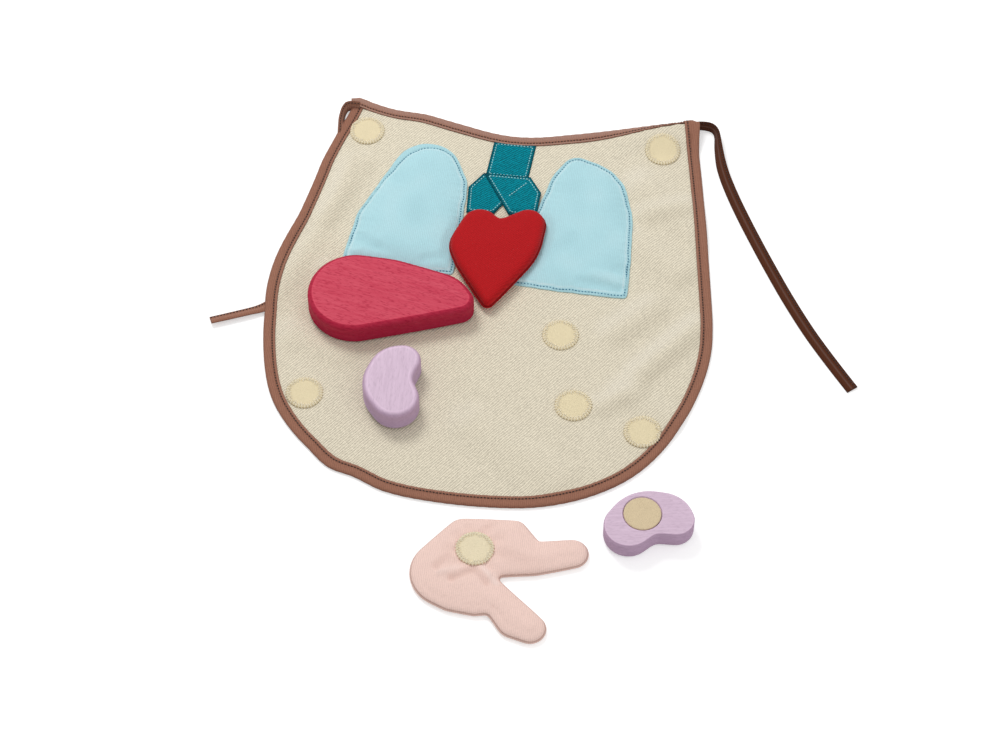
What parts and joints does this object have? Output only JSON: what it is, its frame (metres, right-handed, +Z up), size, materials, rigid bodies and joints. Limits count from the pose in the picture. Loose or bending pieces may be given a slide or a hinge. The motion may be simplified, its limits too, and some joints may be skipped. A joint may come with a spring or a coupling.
{
  "type": "toy anatomy apron",
  "caption": "Bound canvas toy apron with neck ties, sewn padded lungs and airway strips, and a lift-off heart, liver, kidneys and stomach on hook and loop dots.",
  "frame": {"origin": "on the table, at the middle of the footprint of the laid-out set without its ties", "axes": "+X to the viewer's right, +Y from hem to neck edge along the apron's middle, +Z up from the table"},
  "size_m": [0.4515, 0.4507, 0.0195],
  "materials": {
    "canvas": "cream cotton twill canvas",
    "binding_tape": "brown folded cotton tape, edge-stitched",
    "airway_cloth": "teal cotton twill, edge-stitched",
    "lung_cloth": "pale blue plain cotton, edge-stitched",
    "filling": "white polyester wadding",
    "loop_dot": "cream napped loop tape",
    "hook_dot": "beige hook tape",
    "heart_cloth": "red cotton twill",
    "stomach_cloth": "pale pink plain cotton",
    "liver_wood": "crimson stained rubberwood, satin",
    "kidney_wood": "lilac stained rubberwood, satin"
  },
  "bodies": {
    "apron": {"canvas_panel": "canvas", "edge_binding": "binding_tape", "neck_binding": "binding_tape", "left_tie": "binding_tape", "right_tie": "binding_tape", "windpipe_strip": "airway_cloth", "left_bronchus_strip": "airway_cloth", "right_bronchus_strip": "airway_cloth", "left_lung_cover": "lung_cloth", "right_lung_cover": "lung_cloth", "left_lung_padding": "filling", "right_lung_padding": "filling", "loop_dot_upper_left": "loop_dot", "loop_dot_upper_right": "loop_dot", "loop_dot_lower_left": "loop_dot", "loop_dot_lower_right": "loop_dot", "stomach_loop_dot": "loop_dot", "right_kidney_loop_dot": "loop_dot", "left_kidney_loop_dot": "loop_dot", "liver_loop_dot": "loop_dot", "heart_loop_dot": "loop_dot"},
    "heart": {"heart_front_cloth": "heart_cloth", "heart_back_cloth": "heart_cloth", "heart_filling": "filling", "heart_hook_dot": "hook_dot"},
    "liver": {"liver_block": "liver_wood", "liver_hook_dot": "hook_dot"},
    "left_kidney": {"left_kidney_block": "kidney_wood", "left_kidney_hook_dot": "hook_dot"},
    "right_kidney": {"right_kidney_block": "kidney_wood", "right_kidney_hook_dot": "hook_dot"},
    "stomach": {"stomach_front_cloth": "stomach_cloth", "stomach_back_cloth": "stomach_cloth", "stomach_filling": "filling", "stomach_hook_dot": "hook_dot"}
  },
  "joints": [
    {"name": "heart_lift", "type": "slide", "parent": "apron", "child": "heart", "axis": [0, 0, 1], "range_m": [0, 0.08]},
    {"name": "liver_lift", "type": "slide", "parent": "apron", "child": "liver", "axis": [0, 0, 1], "range_m": [0, 0.08]},
    {"name": "left_kidney_lift", "type": "slide", "parent": "apron", "child": "left_kidney", "axis": [0, 0, 1], "range_m": [0, 0.08]},
    {"name": "right_kidney_lift", "type": "slide", "parent": "apron", "child": "right_kidney", "axis": [0, 0, 1], "range_m": [0, 0.08]},
    {"name": "stomach_lift", "type": "slide", "parent": "apron", "child": "stomach", "axis": [0, 0, 1], "range_m": [0, 0.08]}
  ]
}
